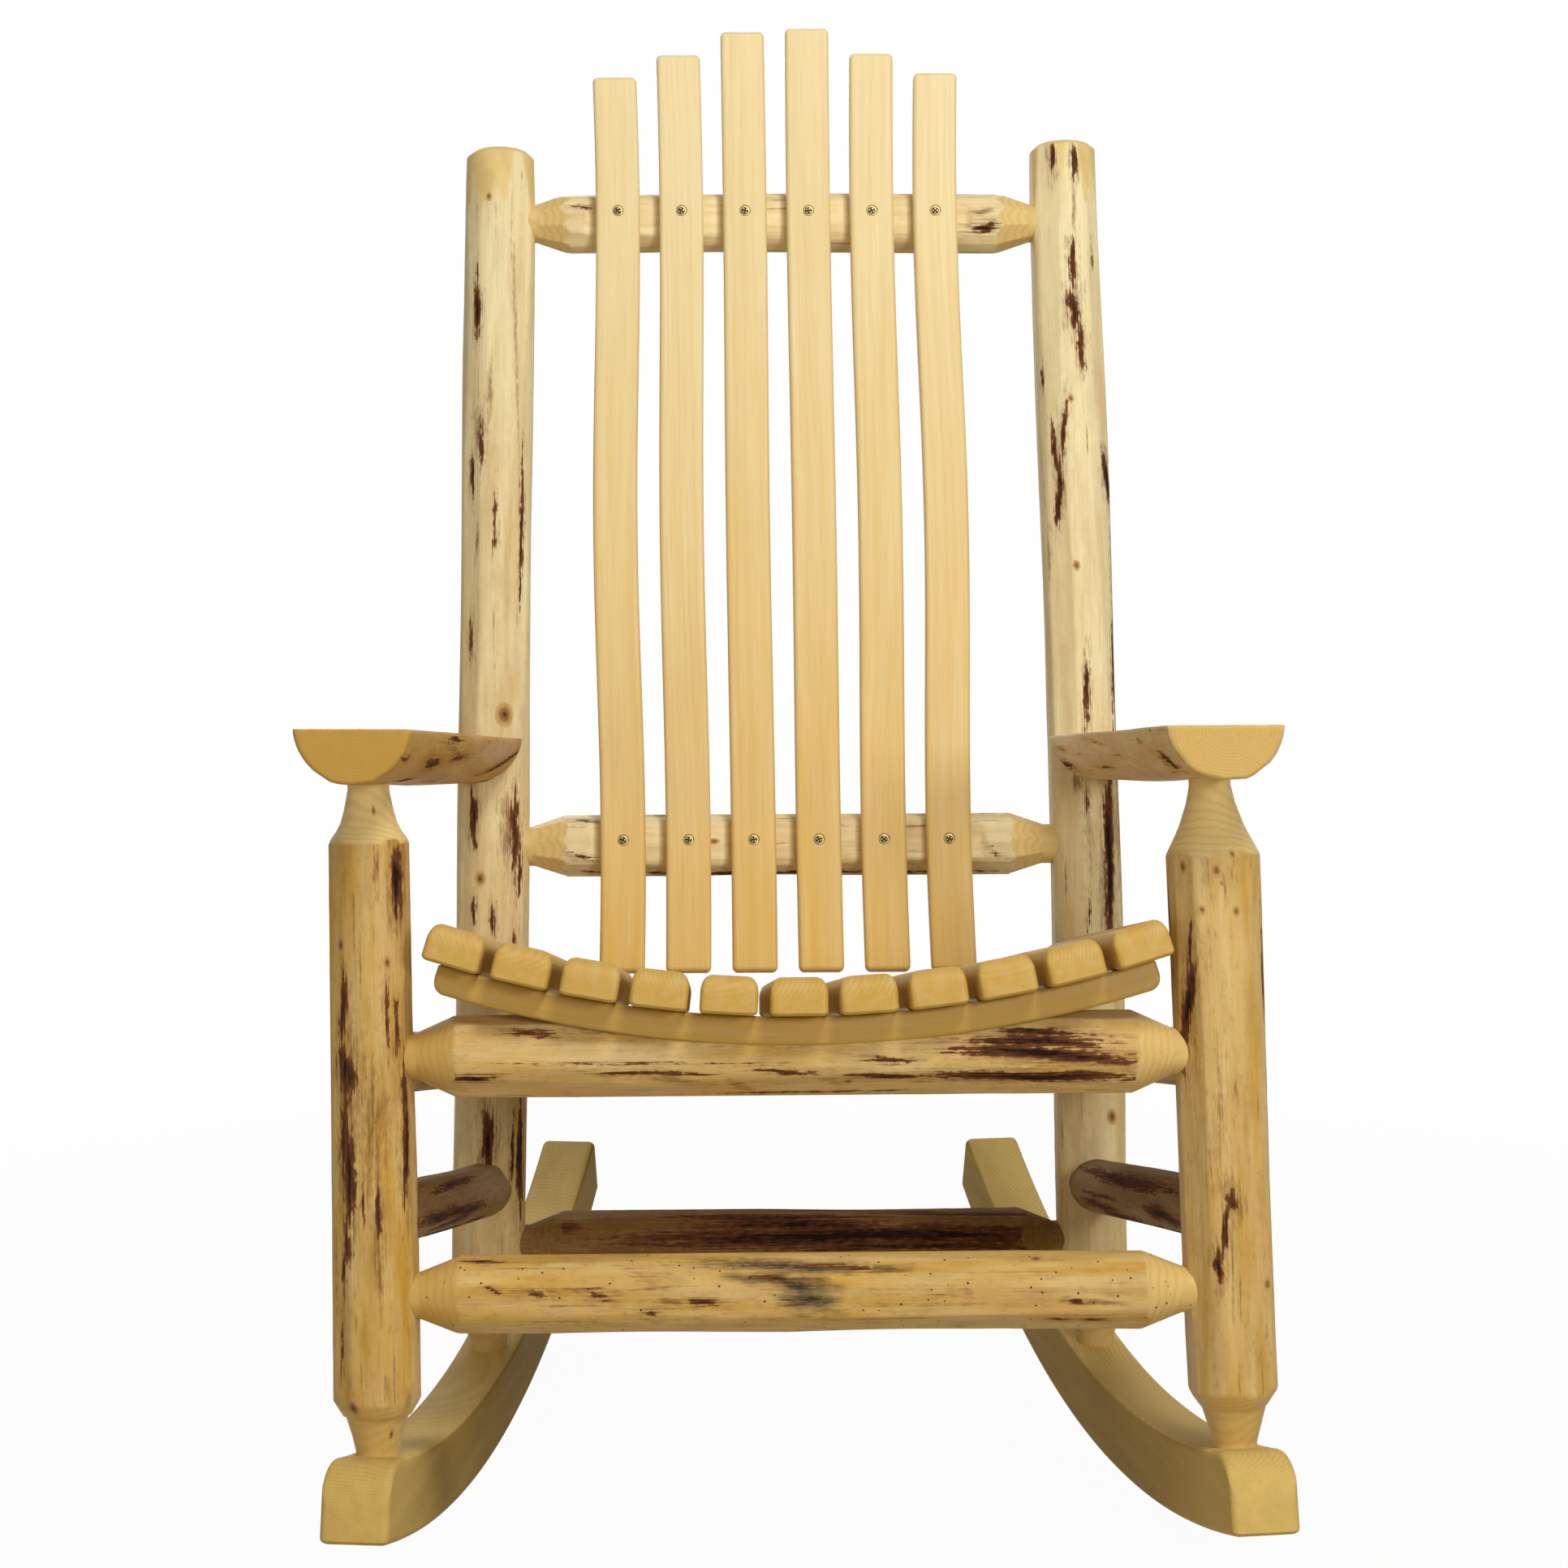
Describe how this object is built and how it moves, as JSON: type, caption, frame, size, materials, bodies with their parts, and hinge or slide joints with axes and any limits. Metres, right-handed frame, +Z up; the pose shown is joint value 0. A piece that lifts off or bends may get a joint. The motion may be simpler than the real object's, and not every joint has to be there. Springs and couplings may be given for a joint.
{
  "type": "log rocking chair",
  "caption": "Rocking chair with a tenoned frame of peeled logs on curved sawn rockers, half-log armrests, a tall back of bent slats and a dished slat seat.",
  "frame": {"origin": "middle of the chair's bounding box in x and y, on the floor", "axes": "+Z up; -Y is the way the sitter faces; +X is to the right of someone who looks at the chair's front"},
  "size_m": [0.7084, 0.9496, 1.1892],
  "materials": {
    "peeled_pine_log": "satin",
    "planed_pine": "satin",
    "sawn_pine": "satin",
    "screw_steel": "satin"
  },
  "bodies": {
    "root": {"rocker_left": "sawn_pine", "rocker_right": "sawn_pine", "front_post_left": "peeled_pine_log", "front_post_right": "peeled_pine_log", "back_post_left": "peeled_pine_log", "back_post_right": "peeled_pine_log", "armrest_left": "peeled_pine_log", "armrest_right": "peeled_pine_log", "seat_rail_front": "peeled_pine_log", "seat_rail_back": "peeled_pine_log", "seat_side_rail_left": "peeled_pine_log", "seat_side_rail_right": "peeled_pine_log", "front_stretcher": "peeled_pine_log", "back_stretcher": "peeled_pine_log", "side_stretcher_left": "peeled_pine_log", "side_stretcher_right": "peeled_pine_log", "back_rail_lower": "peeled_pine_log", "back_rail_upper": "peeled_pine_log", "back_slat_1": "planed_pine", "back_slat_2": "planed_pine", "back_slat_3": "planed_pine", "back_slat_4": "planed_pine", "back_slat_5": "planed_pine", "back_slat_6": "planed_pine", "seat_slat_1": "planed_pine", "seat_slat_2": "planed_pine", "seat_slat_3": "planed_pine", "seat_slat_4": "planed_pine", "seat_slat_5": "planed_pine", "seat_slat_6": "planed_pine", "seat_slat_7": "planed_pine", "seat_slat_8": "planed_pine", "seat_slat_9": "planed_pine", "seat_slat_10": "planed_pine", "seat_slat_11": "planed_pine", "seat_bearer_front": "planed_pine", "seat_bearer_back": "planed_pine", "back_screw_lower_1": "screw_steel", "back_screw_lower_2": "screw_steel", "back_screw_lower_3": "screw_steel", "back_screw_lower_4": "screw_steel", "back_screw_lower_5": "screw_steel", "back_screw_lower_6": "screw_steel", "back_screw_upper_1": "screw_steel", "back_screw_upper_2": "screw_steel", "back_screw_upper_3": "screw_steel", "back_screw_upper_4": "screw_steel", "back_screw_upper_5": "screw_steel", "back_screw_upper_6": "screw_steel", "bearer_screw_front_left": "screw_steel", "bearer_screw_front_right": "screw_steel", "bearer_screw_back_left": "screw_steel", "bearer_screw_back_right": "screw_steel"}
  },
  "joints": []
}
